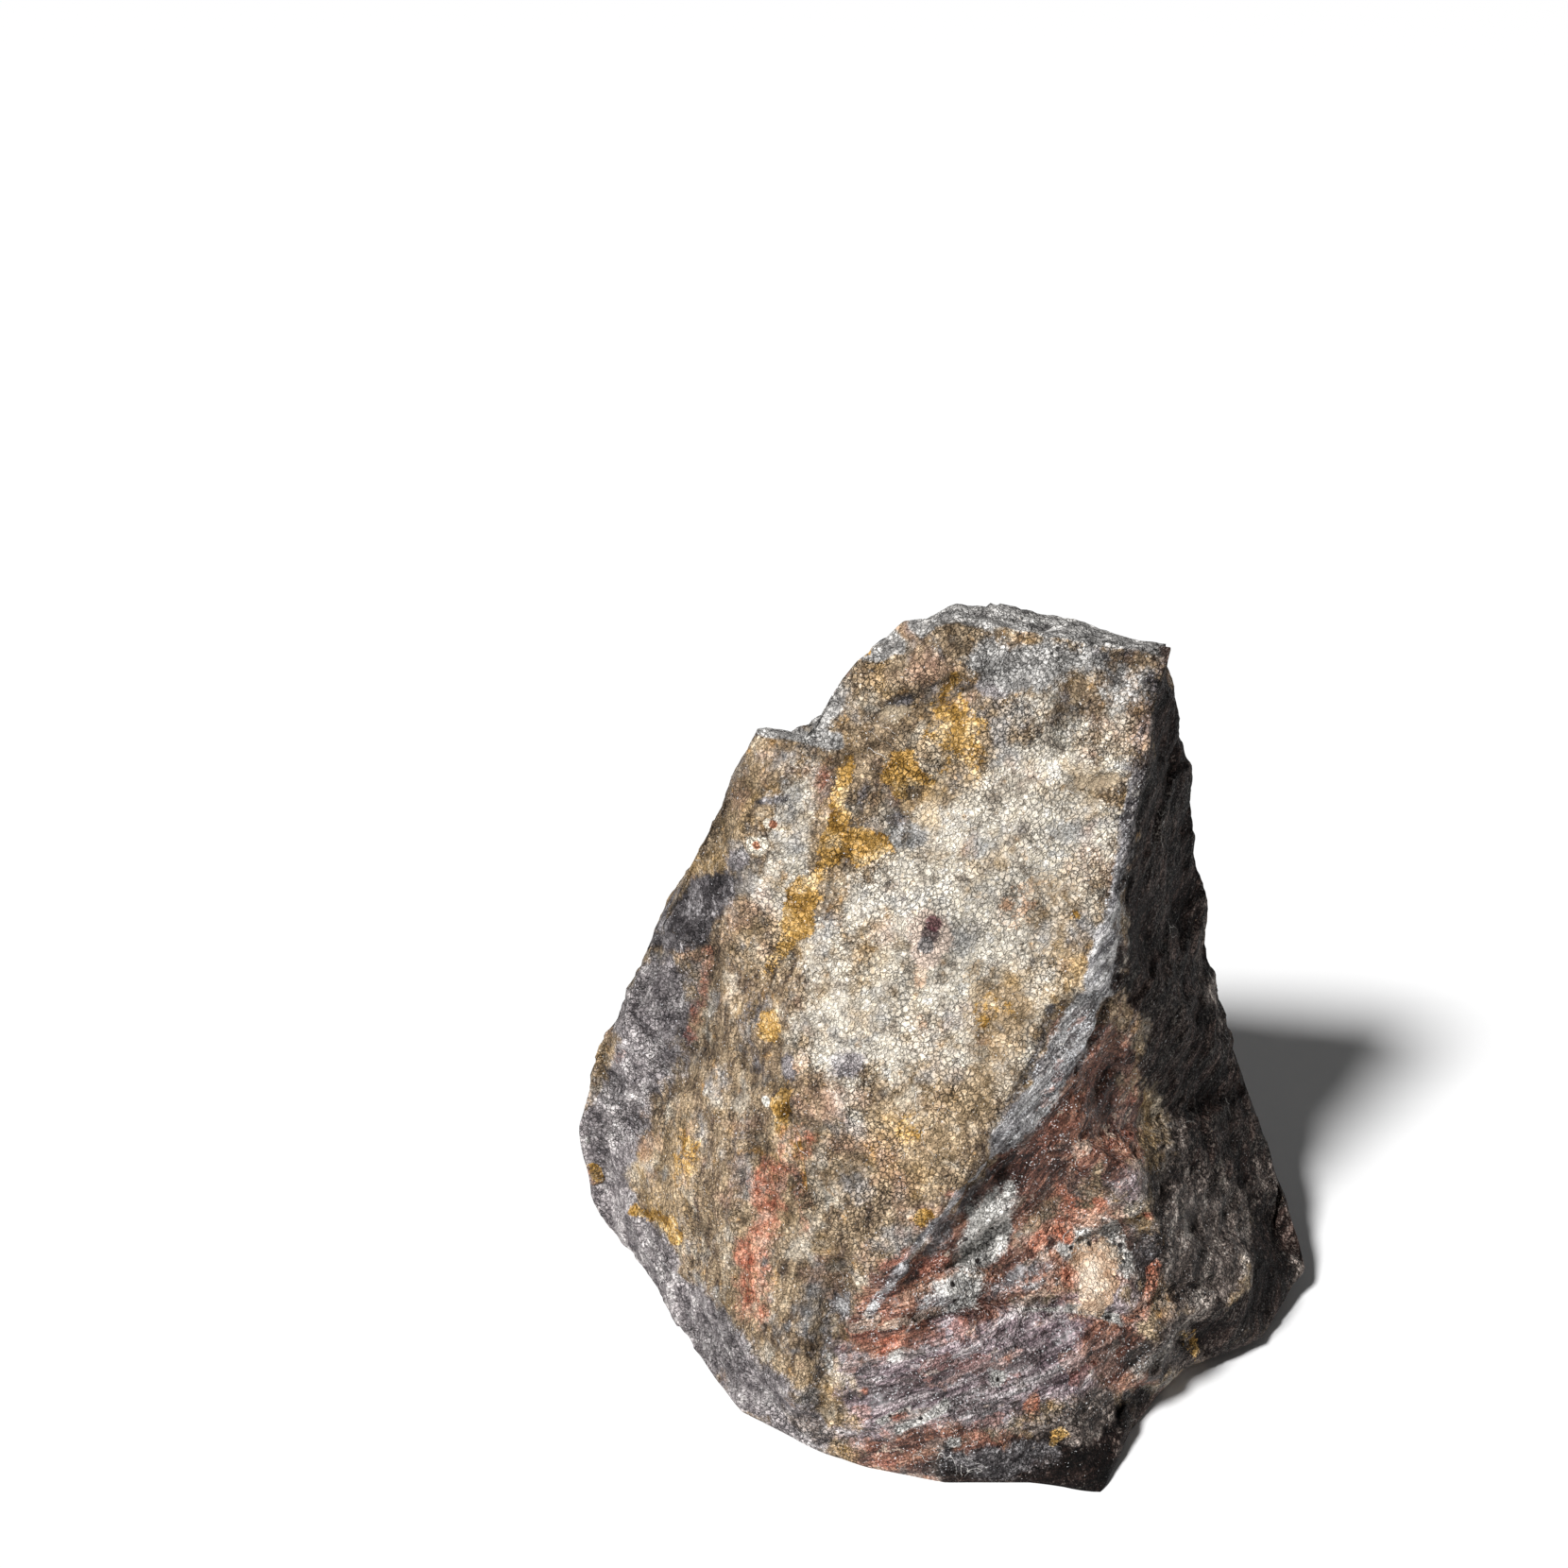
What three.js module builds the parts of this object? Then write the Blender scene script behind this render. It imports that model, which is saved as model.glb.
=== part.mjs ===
// Wonderstone boulder: one natural piece of banded volcanic rock, broken to a leaning wedge.
// Millimetres, +Z up, front towards -Y. The origin is on the ground, under the middle of the stone.
import * as THREE from 'three';
import { ImprovedNoise } from 'three/addons/math/ImprovedNoise.js';
import { TessellateModifier } from 'three/addons/modifiers/TessellateModifier.js';
import { mergeVertices } from 'three/addons/utils/BufferGeometryUtils.js';

// Overall size of the stone.
const WIDTH = 580;
const DEPTH = 445;
const HEIGHT = 590;

// How finely the broken faces are divided: the longest edge left, and the most times that edges are halved.
const LONGEST_EDGE = 30;
const EDGE_PASSES = 14;

// Uneven surface of the broken faces: the size and depth of each layer of swells and hollows.
// It fades out towards the ground, so that the base stays flat.
const RELIEF = [
  { size: 120, depth: 8 },
  { size: 46, depth: 4 },
];
const RELIEF_FADE_HEIGHT = 30;

// Corners where the broken faces meet, [across, back, up].
const corners = {
  // The small top, and the notch with its ledge at the left of it.
  topRight: [140, -25, 570],
  topMid: [70, -25, 575],
  topPeak: [-5, -25, 590],
  topNeck: [-40, -25, 585],
  riser: [-75, -25, 555],
  stepFront: [-105, -40, 500],
  stepLeft: [-140, -20, 495],
  stepBack: [-130, 5, 490],
  stepInner: [-105, -20, 495],
  stepDeep: [-100, 55, 455],
  topBackRight: [145, 30, 555],
  topBackMid: [70, 30, 570],
  topBackPeak: [-5, 25, 580],
  topBackNeck: [-65, 25, 545],
  // The ridge that runs down from the top right corner to the toe.
  ridge1: [125, -55, 485],
  ridge2: [105, -95, 390],
  ridge3: [70, -120, 320],
  ridge4: [35, -145, 260],
  ridge5: [0, -165, 210],
  ridge6: [-30, -185, 145],
  ridge7: [-70, -195, 85],
  // The broad front face, and the soft crease down its middle.
  main1: [40, -70, 465],
  main2: [-10, -120, 310],
  crease1: [-55, -50, 495],
  crease2: [-100, -85, 365],
  crease3: [-115, -120, 265],
  crease4: [-90, -165, 180],
  // The left face and the rough strip under it.
  left1: [-170, -70, 280],
  left2: [-165, -125, 165],
  leftEdge1: [-140, -55, 435],
  leftEdge2: [-200, -30, 335],
  leftOut1: [-160, -30, 455],
  leftOut2: [-220, -10, 320],
  leftOut3: [-250, -10, 260],
  leftOut4: [-275, 0, 195],
  leftOut5: [-285, 0, 140],
  strip1: [-265, -10, 115],
  strip2: [-245, -50, 90],
  strip3: [-195, -100, 90],
  strip4: [-160, -150, 75],
  strip5: [-95, -205, 50],
  low1: [-280, 0, 70],
  low2: [-255, -15, 45],
  low3: [-185, -120, 20],
  low4: [-140, -170, 10],
  low5: [-85, -200, 5],
  // The foot, which stands out below the ridge.
  valley1: [-15, -195, 120],
  valley2: [35, -135, 150],
  valley3: [95, -120, 230],
  spur1: [130, -120, 210],
  spur2: [165, -115, 140],
  spur3: [195, -110, 80],
  foot1: [-75, -210, 35],
  foot2: [10, -220, 60],
  foot3: [80, -190, 70],
  foot4: [145, -155, 75],
  notch: [150, -165, 35],
  sill1: [185, -110, 20],
  sill2: [250, -55, 10],
  rightToe: [290, 10, 25],
  // The steep right face and the back.
  right1: [170, 55, 425],
  right2: [205, 75, 265],
  right3: [245, 75, 150],
  right4: [280, 50, 45],
  back1: [-155, 80, 440],
  back2: [-220, 95, 290],
  back3: [-265, 130, 125],
  back4: [-40, 100, 490],
  back5: [-70, 180, 330],
  back6: [-95, 215, 145],
  back7: [115, 110, 440],
  back8: [130, 165, 265],
  back9: [105, 220, 85],
  back10: [230, 140, 160],
  // The flat base, on the ground.
  toeLeft: [-45, -210, 0],
  toeMid: [10, -220, 0],
  toeRight: [70, -215, 0],
  toeTip: [120, -220, 0],
  base1: [-120, -160, 0],
  base2: [-165, -90, 0],
  base3: [-230, 20, 0],
  base4: [-230, 115, 0],
  base5: [-90, 180, 0],
  base6: [100, 190, 0],
  base7: [210, 115, 0],
  base8: [255, 25, 0],
  base9: [190, -70, 0],
  base10: [145, -155, 0],
  baseMiddle: [0, 0, 0],
};

// Each face names its corners clockwise, as seen from outside the stone.
const topFaces = [
  'topRight topMid topBackMid topBackRight',
  'topMid topPeak topBackPeak topBackMid',
  'topPeak topNeck topBackNeck topBackPeak',
  'topNeck riser topBackNeck',
  'riser stepFront stepInner',
  'riser stepInner stepDeep topBackNeck',
  'stepFront stepLeft stepBack stepInner',
  'stepInner stepBack back1 stepDeep',
];

const frontFaces = [
  'crease1 stepFront riser',
  'crease1 riser topNeck',
  'main1 crease1 topNeck topPeak',
  'main1 topPeak topMid',
  'main1 topMid topRight',
  'main1 topRight ridge1',
  'main1 ridge1 ridge2',
  'main1 ridge2 main2',
  'main1 main2 crease2',
  'main1 crease2 crease1',
  'main2 ridge2 ridge3',
  'main2 ridge3 ridge4',
  'main2 ridge4 ridge5',
  'main2 ridge5 crease4',
  'main2 crease4 crease3',
  'main2 crease3 crease2',
  'crease4 ridge5 ridge6',
  'crease4 ridge6 ridge7',
  'crease4 ridge7 strip5',
];

const leftFaces = [
  'crease1 crease2 leftEdge1',
  'crease1 leftEdge1 stepFront',
  'stepFront leftEdge1 leftOut1 stepLeft',
  'leftEdge1 leftEdge2 leftOut2 leftOut1',
  'left1 crease2 crease3',
  'left1 leftEdge1 crease2',
  'left1 leftEdge2 leftEdge1',
  'left1 leftOut3 leftOut2 leftEdge2',
  'left1 leftOut4 leftOut3',
  'left1 leftOut5 leftOut4',
  'left1 strip1 leftOut5',
  'left1 strip2 strip1',
  'left1 left2 strip2',
  'left1 crease3 left2',
  'left2 crease3 crease4',
  'left2 strip3 strip2',
  'left2 strip4 strip3',
  'left2 strip5 strip4',
  'left2 crease4 strip5',
  'strip1 low1 leftOut5',
  'strip1 strip2 low2 low1',
  'strip2 strip3 low3 low2',
  'strip3 strip4 low4 low3',
  'strip4 strip5 low5 low4',
  'strip5 foot1 low5',
];

const footFaces = [
  'strip5 ridge7 foot1',
  'ridge7 ridge6 valley1 foot1',
  'ridge6 ridge5 valley2 valley1',
  'ridge5 ridge4 valley2',
  'ridge4 ridge3 valley3 valley2',
  'ridge3 ridge2 valley3',
  'foot1 valley1 foot2',
  'valley1 valley2 foot3 foot2',
  'valley2 valley3 spur1',
  'valley2 spur1 spur2',
  'valley2 spur2 foot3',
  'spur2 spur3 foot4 foot3',
  'foot1 foot2 toeMid toeLeft',
  'foot1 toeLeft low5',
  'foot2 foot3 toeRight toeMid',
  'foot3 foot4 notch',
  'foot3 notch toeTip toeRight',
  'foot4 spur3 sill1 notch',
  'spur3 rightToe sill2 sill1',
];

const rightFaces = [
  'ridge2 right2 right3',
  'ridge2 right3 valley3',
  'ridge2 ridge1 right1 right2',
  'ridge1 topRight right1',
  'topRight topBackRight right1',
  'valley3 right3 spur1',
  'spur1 right3 right4 spur2',
  'spur2 right4 rightToe spur3',
];

const backFaces = [
  'leftOut1 leftOut2 back2 back1',
  'stepLeft leftOut1 back1 stepBack',
  'stepDeep back1 back4 topBackNeck',
  'leftOut2 leftOut3 back2',
  'leftOut3 leftOut4 back3 back2',
  'leftOut4 leftOut5 back3',
  'topBackNeck back4 topBackPeak',
  'topBackPeak back4 back7 topBackMid',
  'topBackMid back7 topBackRight',
  'topBackRight back7 right1',
  'back1 back2 back5 back4',
  'back2 back3 back6 back5',
  'back4 back5 back8 back7',
  'back5 back6 back9 back8',
  'back7 back8 right2 right1',
  'back8 back10 right3 right2',
  'back8 back9 back10',
  'right3 back10 right4',
  'right4 back10 rightToe',
];

const lowerFaces = [
  'leftOut5 low1 base3 back3',
  'low1 low2 base3',
  'low2 low3 base2 base3',
  'low3 low4 base1 base2',
  'low4 low5 toeLeft base1',
  'back3 base3 base4',
  'back3 base4 base5 back6',
  'back6 base5 base6 back9',
  'back9 base6 base7 back10',
  'back10 base7 base8 rightToe',
  'rightToe base8 sill2',
  'sill2 base8 base9 sill1',
  'sill1 base9 base10 notch',
  'notch base10 toeTip',
];

// The base is a fan around its middle corner, with its rim closed on itself.
const baseFace = [
  'baseMiddle toeLeft toeMid toeRight toeTip base10 base9 base8 base7 base6 base5',
  'base4 base3 base2 base1 toeLeft',
].join(' ');

const faces = [
  ...topFaces,
  ...frontFaces,
  ...leftFaces,
  ...footFaces,
  ...rightFaces,
  ...backFaces,
  ...lowerFaces,
  baseFace,
];

// A face is a fan of triangles from its first corner, turned so that they point out of the stone.
function faceTriangles(face) {
  const [first, ...rim] = face.split(' ').map((name) => corners[name]);
  return rim.slice(1).flatMap((corner, i) => [first, corner, rim[i]]);
}

// The corners joined by flat faces, divided until no edge is longer than LONGEST_EDGE.
function brokenFaces() {
  const positions = faces.flatMap(faceTriangles).flat();
  const rough = new THREE.BufferGeometry();
  rough.setAttribute('position', new THREE.Float32BufferAttribute(positions, 3));
  const divided = new TessellateModifier(LONGEST_EDGE, EDGE_PASSES).modify(rough);
  return mergeVertices(divided);
}

// Moves each point along its normal by the sum of the relief's layers.
function addRelief(geometry) {
  geometry.computeVertexNormals();
  const noise = new ImprovedNoise();
  const { position, normal } = geometry.attributes;
  const point = new THREE.Vector3();
  const outward = new THREE.Vector3();
  for (let i = 0; i < position.count; i += 1) {
    point.fromBufferAttribute(position, i);
    outward.fromBufferAttribute(normal, i);
    const fade = THREE.MathUtils.smoothstep(point.z, 0, RELIEF_FADE_HEIGHT);
    const swell = RELIEF.reduce(
      (sum, { size, depth }) => sum + depth * noise.noise(point.x / size, point.y / size, point.z / size),
      0,
    );
    point.addScaledVector(outward, fade * swell);
    position.setXYZ(i, point.x, point.y, point.z);
  }
}

// Brings the stone to its overall size, centred over the origin, with the base left on the ground.
function fitToSize(geometry) {
  geometry.computeBoundingBox();
  const { min, max } = geometry.boundingBox;
  geometry.translate(-(min.x + max.x) / 2, -(min.y + max.y) / 2, 0);
  geometry.scale(WIDTH / (max.x - min.x), DEPTH / (max.y - min.y), HEIGHT / max.z);
  geometry.computeVertexNormals();
}

function makeStone() {
  const geometry = brokenFaces();
  addRelief(geometry);
  fitToSize(geometry);
  const ochreRock = new THREE.MeshStandardMaterial({ color: 0x8a765a, roughness: 0.9, metalness: 0 });
  const stone = new THREE.Mesh(geometry, ochreRock);
  stone.name = 'stone';
  return stone;
}

const wonderstone = new THREE.Group();
wonderstone.add(makeStone());

export default wonderstone;
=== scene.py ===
import math
from types import SimpleNamespace

import bpy
import numpy as np
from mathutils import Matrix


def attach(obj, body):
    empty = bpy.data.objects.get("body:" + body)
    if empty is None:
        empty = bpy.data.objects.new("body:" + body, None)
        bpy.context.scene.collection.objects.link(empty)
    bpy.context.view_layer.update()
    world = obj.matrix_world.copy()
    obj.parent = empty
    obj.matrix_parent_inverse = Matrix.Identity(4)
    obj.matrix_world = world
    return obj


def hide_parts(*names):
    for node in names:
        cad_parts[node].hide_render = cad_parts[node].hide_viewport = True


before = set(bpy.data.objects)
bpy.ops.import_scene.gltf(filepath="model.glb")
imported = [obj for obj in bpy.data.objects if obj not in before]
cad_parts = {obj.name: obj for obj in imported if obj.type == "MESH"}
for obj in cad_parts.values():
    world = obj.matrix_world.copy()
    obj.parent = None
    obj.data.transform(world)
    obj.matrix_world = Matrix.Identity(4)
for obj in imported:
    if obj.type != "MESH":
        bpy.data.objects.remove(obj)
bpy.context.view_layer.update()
print("stage: frame loaded,", len(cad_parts), "node")

# Places on the picture are pixels of the 1660 x 1660 frame, x to the right and y down.
camera = {
    "place": (-0.007, -1.409, 1.141),  # metres
    "turnLeft": 4.85,  # degrees from straight ahead
    "lookDown": 26.17,  # degrees below level
    "lens": 50.0,  # millimetres
    "sensor": 36.0,  # millimetres
    "picture": 1660.0,  # pixels along a side
}


def cameraAxes():
    # right, up and forward of a camera that is turned left and then tipped down
    turn, tip = math.radians(camera["turnLeft"]), math.radians(camera["lookDown"])
    forward = np.array([-math.sin(turn) * math.cos(tip), math.cos(turn) * math.cos(tip), -math.sin(tip)])
    right = np.array([math.cos(turn), math.sin(turn), 0.0])
    return right, np.cross(right, forward), forward


def pictureOf(points):
    # pixel = middle of the picture plus focal length times the sideways share of the distance ahead
    right, up, forward = cameraAxes()
    away = points - np.array(camera["place"])
    ahead = away @ forward
    focal = camera["lens"] / camera["sensor"] * camera["picture"]
    middle = camera["picture"] / 2
    return np.stack([middle + focal * (away @ right) / ahead, middle - focal * (away @ up) / ahead], axis=1)


def makeCamera():
    # the angles are a tip from looking straight down and a turn about the upright
    data = bpy.data.cameras.new("photoCamera")
    data.lens, data.sensor_width = camera["lens"], camera["sensor"]
    item = bpy.data.objects.new("photoCamera", data)
    item.location = camera["place"]
    item.rotation_euler = (math.radians(90 - camera["lookDown"]), 0, math.radians(camera["turnLeft"]))
    bpy.context.collection.objects.link(item)
    bpy.context.scene.camera = item


# Numpy noise, each a function of whole arrays of points in metres.


def smooth(low, high, value):
    # 0 below low, 1 above high, and an S-shaped rise between them
    t = np.clip((value - low) / (high - low), 0, 1)
    return t * t * (3 - 2 * t)


def latticeRandom(cell, seed):
    # a number from 0 to 1 for each whole-number cell, by multiplying with large primes and mixing bits
    mixed = cell[..., 0] * 73856093 ^ cell[..., 1] * 19349663 ^ cell[..., 2] * 83492791 ^ seed * 40503
    mixed = (mixed ^ (mixed >> 13)) * 1274126177 & 0xFFFFFFFF
    mixed = (mixed ^ (mixed >> 15)) * 2246822519 & 0xFFFFFFFF
    return ((mixed ^ (mixed >> 16)) & 0xFFFFFF) / 0xFFFFFF


def latticeVector(cell, seed):
    # three of those numbers, moved to lie from -1 to 1
    return np.stack([latticeRandom(cell, seed + axis * 101) for axis in range(3)], axis=-1) * 2 - 1


def waves(points, size, seed):
    # gradient noise: slopes at the cell corners, blended across the cell, about -1 to 1
    scaled = points / size
    cell = np.floor(scaled).astype(np.int64)
    inside = scaled - cell
    ease = inside**3 * (inside * (inside * 6 - 15) + 10)
    total = np.zeros(len(points))
    for corner in np.ndindex(2, 2, 2):
        step = np.array(corner)
        share = np.prod(np.where(step == 1, ease, 1 - ease), axis=1)
        total += share * np.sum(latticeVector(cell + step, seed) * (inside - step), axis=1)
    return total * 1.4


def layers(points, size, count, seed, keep=0.5):
    # waves summed at halving sizes, each layer keep times as high as the one before
    return sum(keep**k * waves(points, size / 2**k, seed + 17 * k) for k in range(count))


def chips(points, size, seed):
    # distance to the nearest scattered point in cell sizes, that point's number, and the height of a
    # flat piece that slopes its own way from that point
    scaled = points / size
    cell = np.floor(scaled).astype(np.int64)
    nearest = np.full(len(points), 9.0)
    number = np.zeros(len(points))
    slope = np.zeros(len(points))
    for corner in np.ndindex(3, 3, 3):
        other = cell + np.array(corner) - 1
        away = scaled - other - 0.5 - 0.42 * latticeVector(other, seed)
        distance = np.linalg.norm(away, axis=1)
        closer = distance < nearest
        number = np.where(closer, latticeRandom(other, seed + 7), number)
        slope = np.where(closer, np.sum(away * latticeVector(other, seed + 31), axis=1), slope)
        nearest = np.where(closer, distance, nearest)
    return nearest, number, slope


# Marks on the picture: blots are turned ellipses, and veins are lines with a half width.


def blot(pixels, at, half, tilt=0):
    # distance from the middle in half sizes, with the long way turned tilt degrees up from the right
    turn = math.radians(tilt)
    across, down = pixels[:, 0] - at[0], pixels[:, 1] - at[1]
    along = across * math.cos(turn) - down * math.sin(turn)
    beside = across * math.sin(turn) + down * math.cos(turn)
    return np.hypot(along / half[0], beside / half[1])


def vein(pixels, path, half):
    # distance from the nearest stretch of the line, in half widths
    path = np.array(path, float)
    best = np.full(len(pixels), 1e9)
    for start, end in zip(path[:-1], path[1:]):
        run = end - start
        share = np.clip((pixels - start) @ run / (run @ run), 0, 1)
        best = np.minimum(best, np.linalg.norm(pixels - start - share[:, None] * run, axis=1))
    return best / half


def markMask(pixels, ragged, marks):
    # the strongest of the marks, 1 inside and 0 outside, with edges made ragged by noise
    mask = np.zeros(len(pixels))
    for mark in marks:
        shape = dict(mark)
        strength = shape.pop("strength", 1.0)
        reach = vein(pixels, **shape) if "path" in shape else blot(pixels, **shape)
        mask = np.maximum(mask, strength * smooth(1.6, 0.3, reach + ragged))
    return mask


# The stone: the CAD solid's triangles as rounded patches, roughened by layers of relief.
stone = {
    "splits": 5,  # grid steps along each side of a patch
    "rounding": 0.45,  # 0 keeps flat faces, 1 rounds them fully
    "inset": 0.0022,  # metres that the whole relief lies below the CAD solid
    "groundFade": 0.03,  # metres over which the relief grows from the flat base
    # size and depth in metres and seed of the broken hollows, the soft unevenness, the fine roughness
    # and the grooves along the flow
    "scallops": [(0.080, 0.0085, 11), (0.034, 0.0040, 23), (0.015, 0.0012, 29)],
    "swells": (0.060, 0.0030, 31),
    "grit": (0.012, 0.0022, 47),
    "streaks": [(0.034, 0.0060, 59), (0.012, 0.0030, 61)],
    "streakStretch": 9.0,  # how many times longer than wide a groove is
    "streakMiddle": (0.03, -0.15, 0.15),  # metres, the point that the flow is measured from
    "streakTurn": (20, 28),  # degrees up from level at the toe, and how many more by the ridge
    "warp": (0.050, 0.012, 71),  # size and shift in metres and seed of the bends in the hollows' outlines
    "markRagged": (0.016, 0.35, 83),  # size in metres, amount and seed of the roughness of a mark's edge
    "zoneRagged": (0.035, 0.5, 5),  # the same for a zone's edge
    "edgeCalm": 0.9,  # share of the relief that is left out along sharp edges
    "edgeRounds": 7,  # grid steps to each side over which an edge is kept crisp
    "edgeFade": (0.04, 0.3),  # sharpness where the calm begins and where it is full
    # each of these is a cosine between a point's normal and the way to the camera
    "frontFade": (-0.8, -0.55),  # where the picture's marks begin and where they are full
    "outlineFade": (0.35, 0.05),  # where the calm of the outline begins and where it is full
    "spotFront": 0.15,  # least for a point that a round mark may sit on
    "hollowShadeFade": (0.003, -0.007),  # metres of relief where the painted shade of hollows begins and is full
    # how far each kind of rock is grooved, and how far it is fibrous
    "streaky": {"rust": 1.0, "mauve": 1.0, "flankAndShade": 0.7, "shade": 0.35},
    "fibrous": {"rust": 1.0, "mauve": 1.0, "paintedSheen": 0.8, "flankAndShade": 0.5, "shade": 0.7},
    # dents, or humps where the depth is negative: pixel, half sizes in pixels, degrees, metres
    "hollows": [
        dict(at=(752, 868), half=(22, 52), tilt=-32, depth=0.005),
        dict(at=(652, 1052), half=(24, 62), tilt=-28, depth=0.006),
        dict(at=(1266, 800), half=(34, 110), tilt=8, depth=0.0035),
        dict(at=(1130, 745), half=(16, 46), tilt=-8, depth=0.006),
        dict(at=(1160, 745), half=(12, 40), tilt=-8, depth=-0.003),
        dict(at=(1215, 1482), half=(30, 18), tilt=25, depth=0.008),
        dict(at=(1160, 806), half=(34, 12), tilt=0, depth=-0.003),
        dict(at=(1158, 836), half=(30, 12), tilt=0, depth=0.003),
        dict(at=(745, 1030), half=(16, 46), tilt=12, depth=0.005),
        dict(at=(948, 802), half=(36, 28), tilt=0, depth=-0.004),
        dict(at=(990, 872), half=(30, 36), tilt=0, depth=-0.004),
        dict(at=(808, 948), half=(26, 28), tilt=0, depth=-0.003),
        dict(at=(1072, 1122), half=(46, 34), tilt=40, depth=-0.003),
        dict(at=(985, 1096), half=(40, 34), tilt=0, depth=-0.003),
        dict(at=(1080, 772), half=(34, 28), tilt=0, depth=-0.003),
        dict(at=(905, 1240), half=(40, 40), tilt=0, depth=0.0015),
        dict(at=(1100, 1200), half=(24, 110), tilt=-42, depth=0.005),
        dict(at=(1130, 1271), half=(26, 34), tilt=-30, depth=0.004),
        dict(at=(1165, 1350), half=(24, 40), tilt=20, depth=-0.004),
    ],
    # grooves, or ridges where the depth is negative: pixels along the line, half width in pixels, metres
    "cracks": [
        dict(path=[(932, 738), (960, 722), (1010, 706)], half=10, depth=-0.003),
        dict(path=[(926, 754), (962, 742), (985, 730), (1008, 724)], half=13, depth=0.006),
        dict(path=[(1132, 820), (1160, 824), (1190, 819)], half=5, depth=0.003),
        dict(path=[(1112, 1070), (1092, 1128), (1062, 1175), (1022, 1240)], half=5, depth=0.0015),
        dict(path=[(888, 1350), (882, 1400), (872, 1440), (864, 1490)], half=14, depth=0.007),
        dict(
            path=[(960, 1402), (1040, 1372), (1117, 1380), (1200, 1398), (1240, 1374), (1290, 1358)],
            half=7,
            depth=0.006,
        ),
        dict(path=[(880, 806), (905, 797), (937, 791)], half=6, depth=0.004),
        dict(path=[(819, 1100), (828, 1170), (846, 1222), (838, 1290)], half=5, depth=0.003),
    ],
    "hiddenSize": 0.15,  # metres, the width of the patches on the hidden sides
    "darkEnd": (0.10, 0.20),  # metres to the right where the hidden dark rock begins and is full
    "darkTip": (0.22, 0.27),  # the same for the painted shade
    # patches on the hidden sides: kind, noise level above which it shows, seed
    "hiddenPatches": [
        ("ochre", 0.00, 200),
        ("cream", 0.15, 213),
        ("grey", 0.10, 226),
        ("rust", 0.20, 239),
        ("mauve", 0.25, 252),
        ("slateAndShade", 0.30, 265),
        ("gold", 0.45, 278),
        ("salmon", 0.62, 291),
    ],
}


def nodeSurface(node):
    # the CAD node's points with doubles merged, and its triangles
    mesh = node.data
    points = np.empty(len(mesh.vertices) * 3, np.float32)
    mesh.vertices.foreach_get("co", points)
    mesh.calc_loop_triangles()
    corners = np.empty(len(mesh.loop_triangles) * 3, np.int32)
    mesh.loop_triangles.foreach_get("vertices", corners)
    merged, index = np.unique(np.round(points.reshape(-1, 3).astype(float), 6), axis=0, return_inverse=True)
    return merged, index.reshape(-1)[corners].reshape(-1, 3)


def sumsAtPoints(faces, vectors, count):
    # for each point, the sum of the vectors of the faces that meet there
    columns = []
    for axis in range(3):
        columns.append(sum(np.bincount(faces[:, k], vectors[:, axis], count) for k in range(3)))
    return np.stack(columns, axis=1)


def pointNormals(points, faces):
    # each point's normal is the sum of its faces' normals, by area, made one long
    a, b, c = (points[faces[:, k]] for k in range(3))
    normals = sumsAtPoints(faces, np.cross(b - a, c - a), len(points))
    return normals / np.linalg.norm(normals, axis=1, keepdims=True)


def edgeSharpness(normals, faces, rounds):
    # 1 less the length of the normal once it is averaged with its neighbours: near 0 on a face, and
    # more by an edge
    spread = normals
    counts = np.bincount(faces.ravel(), minlength=len(normals))
    for _ in range(rounds):
        spread = sumsAtPoints(faces, spread[faces].mean(axis=1), len(normals)) / counts[:, None]
    return 1 - np.linalg.norm(spread, axis=1)


def patchGrid(points, faces, splits, rounding):
    # a patch is a grid of two parameters u and v over a triangle, its point the corners weighted by
    # 1-u-v, u and v, then drawn part of the way to the planes through the corners across their normals
    steps = [(i, j) for i in range(splits + 1) for j in range(splits + 1 - i)]
    grid = np.array(steps)
    weights = np.column_stack([splits - grid.sum(axis=1), grid]) / splits
    at = {step: k for k, step in enumerate(steps)}
    upright = [(at[i, j], at[i + 1, j], at[i, j + 1]) for i, j in steps if i + j < splits]
    turned = [(at[i + 1, j], at[i + 1, j + 1], at[i, j + 1]) for i, j in steps if i + j < splits - 1]
    corners, normals = points[faces], pointNormals(points, faces)[faces]
    flat = np.einsum("gk,fkx->fgx", weights, corners)
    height = np.einsum("fgkx,fkx->fgk", flat[:, :, None] - corners[:, None], normals)
    bent = flat - rounding * np.einsum("gk,fgk,fkx->fgx", weights, height, normals)
    starts = np.arange(len(faces))[:, None, None] * len(grid)
    triangles = (starts + np.array(upright + turned)[None]).reshape(-1, 3)
    merged, index = np.unique(np.round(bent.reshape(-1, 3), 6), axis=0, return_inverse=True)
    return merged, index.reshape(-1)[triangles]


def flowCoordinates(points):
    # across the picture, up it and away from it, with the first turned to lie along the rock's streaks;
    # the streaks are steep near the ridge and flatter towards the toe
    right, up, forward = cameraAxes()
    away = points - np.array(stone["streakMiddle"])
    x, y, z = away @ right, away @ up, away @ forward
    level, more = stone["streakTurn"]
    turn = np.radians(level + more * smooth(-0.12, 0.10, y + 0.35 * x))
    along = x * np.cos(turn) + y * np.sin(turn)
    across = y * np.cos(turn) - x * np.sin(turn)
    return np.stack([along / stone["streakStretch"], across, z], axis=1)


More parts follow.
